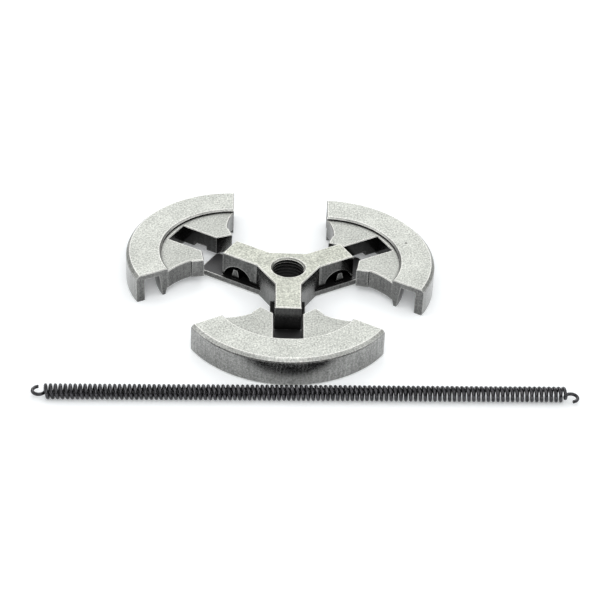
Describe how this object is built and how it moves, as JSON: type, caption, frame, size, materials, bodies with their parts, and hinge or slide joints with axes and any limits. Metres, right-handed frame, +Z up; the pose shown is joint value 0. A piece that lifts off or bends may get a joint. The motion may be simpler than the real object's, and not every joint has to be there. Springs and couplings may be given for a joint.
{
  "type": "chainsaw clutch",
  "caption": "Centrifugal clutch for a chainsaw: sintered shoes drawn out along the arms of a threaded spider, with the garter spring that closes them laid beside it.",
  "frame": {"origin": "axis of the crankshaft bore, at the plane that the clutch rests on", "axes": "+Z up along the bore, the front arm along -Y, +X to the right as seen from the front"},
  "size_m": [0.1464, 0.0923, 0.0094],
  "materials": {
    "sintered_steel_spider": "matt, fine grain",
    "sintered_steel_shoe": "matt, fine grain",
    "spring_wire": "dark drawn wire"
  },
  "bodies": {
    "hub": {"spider": "sintered_steel_spider", "garter_spring": "spring_wire"},
    "front": {"front_shoe": "sintered_steel_shoe"},
    "left": {"left_shoe": "sintered_steel_shoe"},
    "right": {"right_shoe": "sintered_steel_shoe"}
  },
  "joints": [
    {"name": "front_shoe_slide", "type": "slide", "parent": "hub", "child": "front", "axis": [0, -1, 0], "range_m": [-0.0114, 0]},
    {"name": "left_shoe_slide", "type": "slide", "parent": "hub", "child": "left", "axis": [-0.866, 0.5, 0], "range_m": [-0.0178, 0]},
    {"name": "right_shoe_slide", "type": "slide", "parent": "hub", "child": "right", "axis": [0.866, 0.5, 0], "range_m": [-0.0126, 0]}
  ]
}
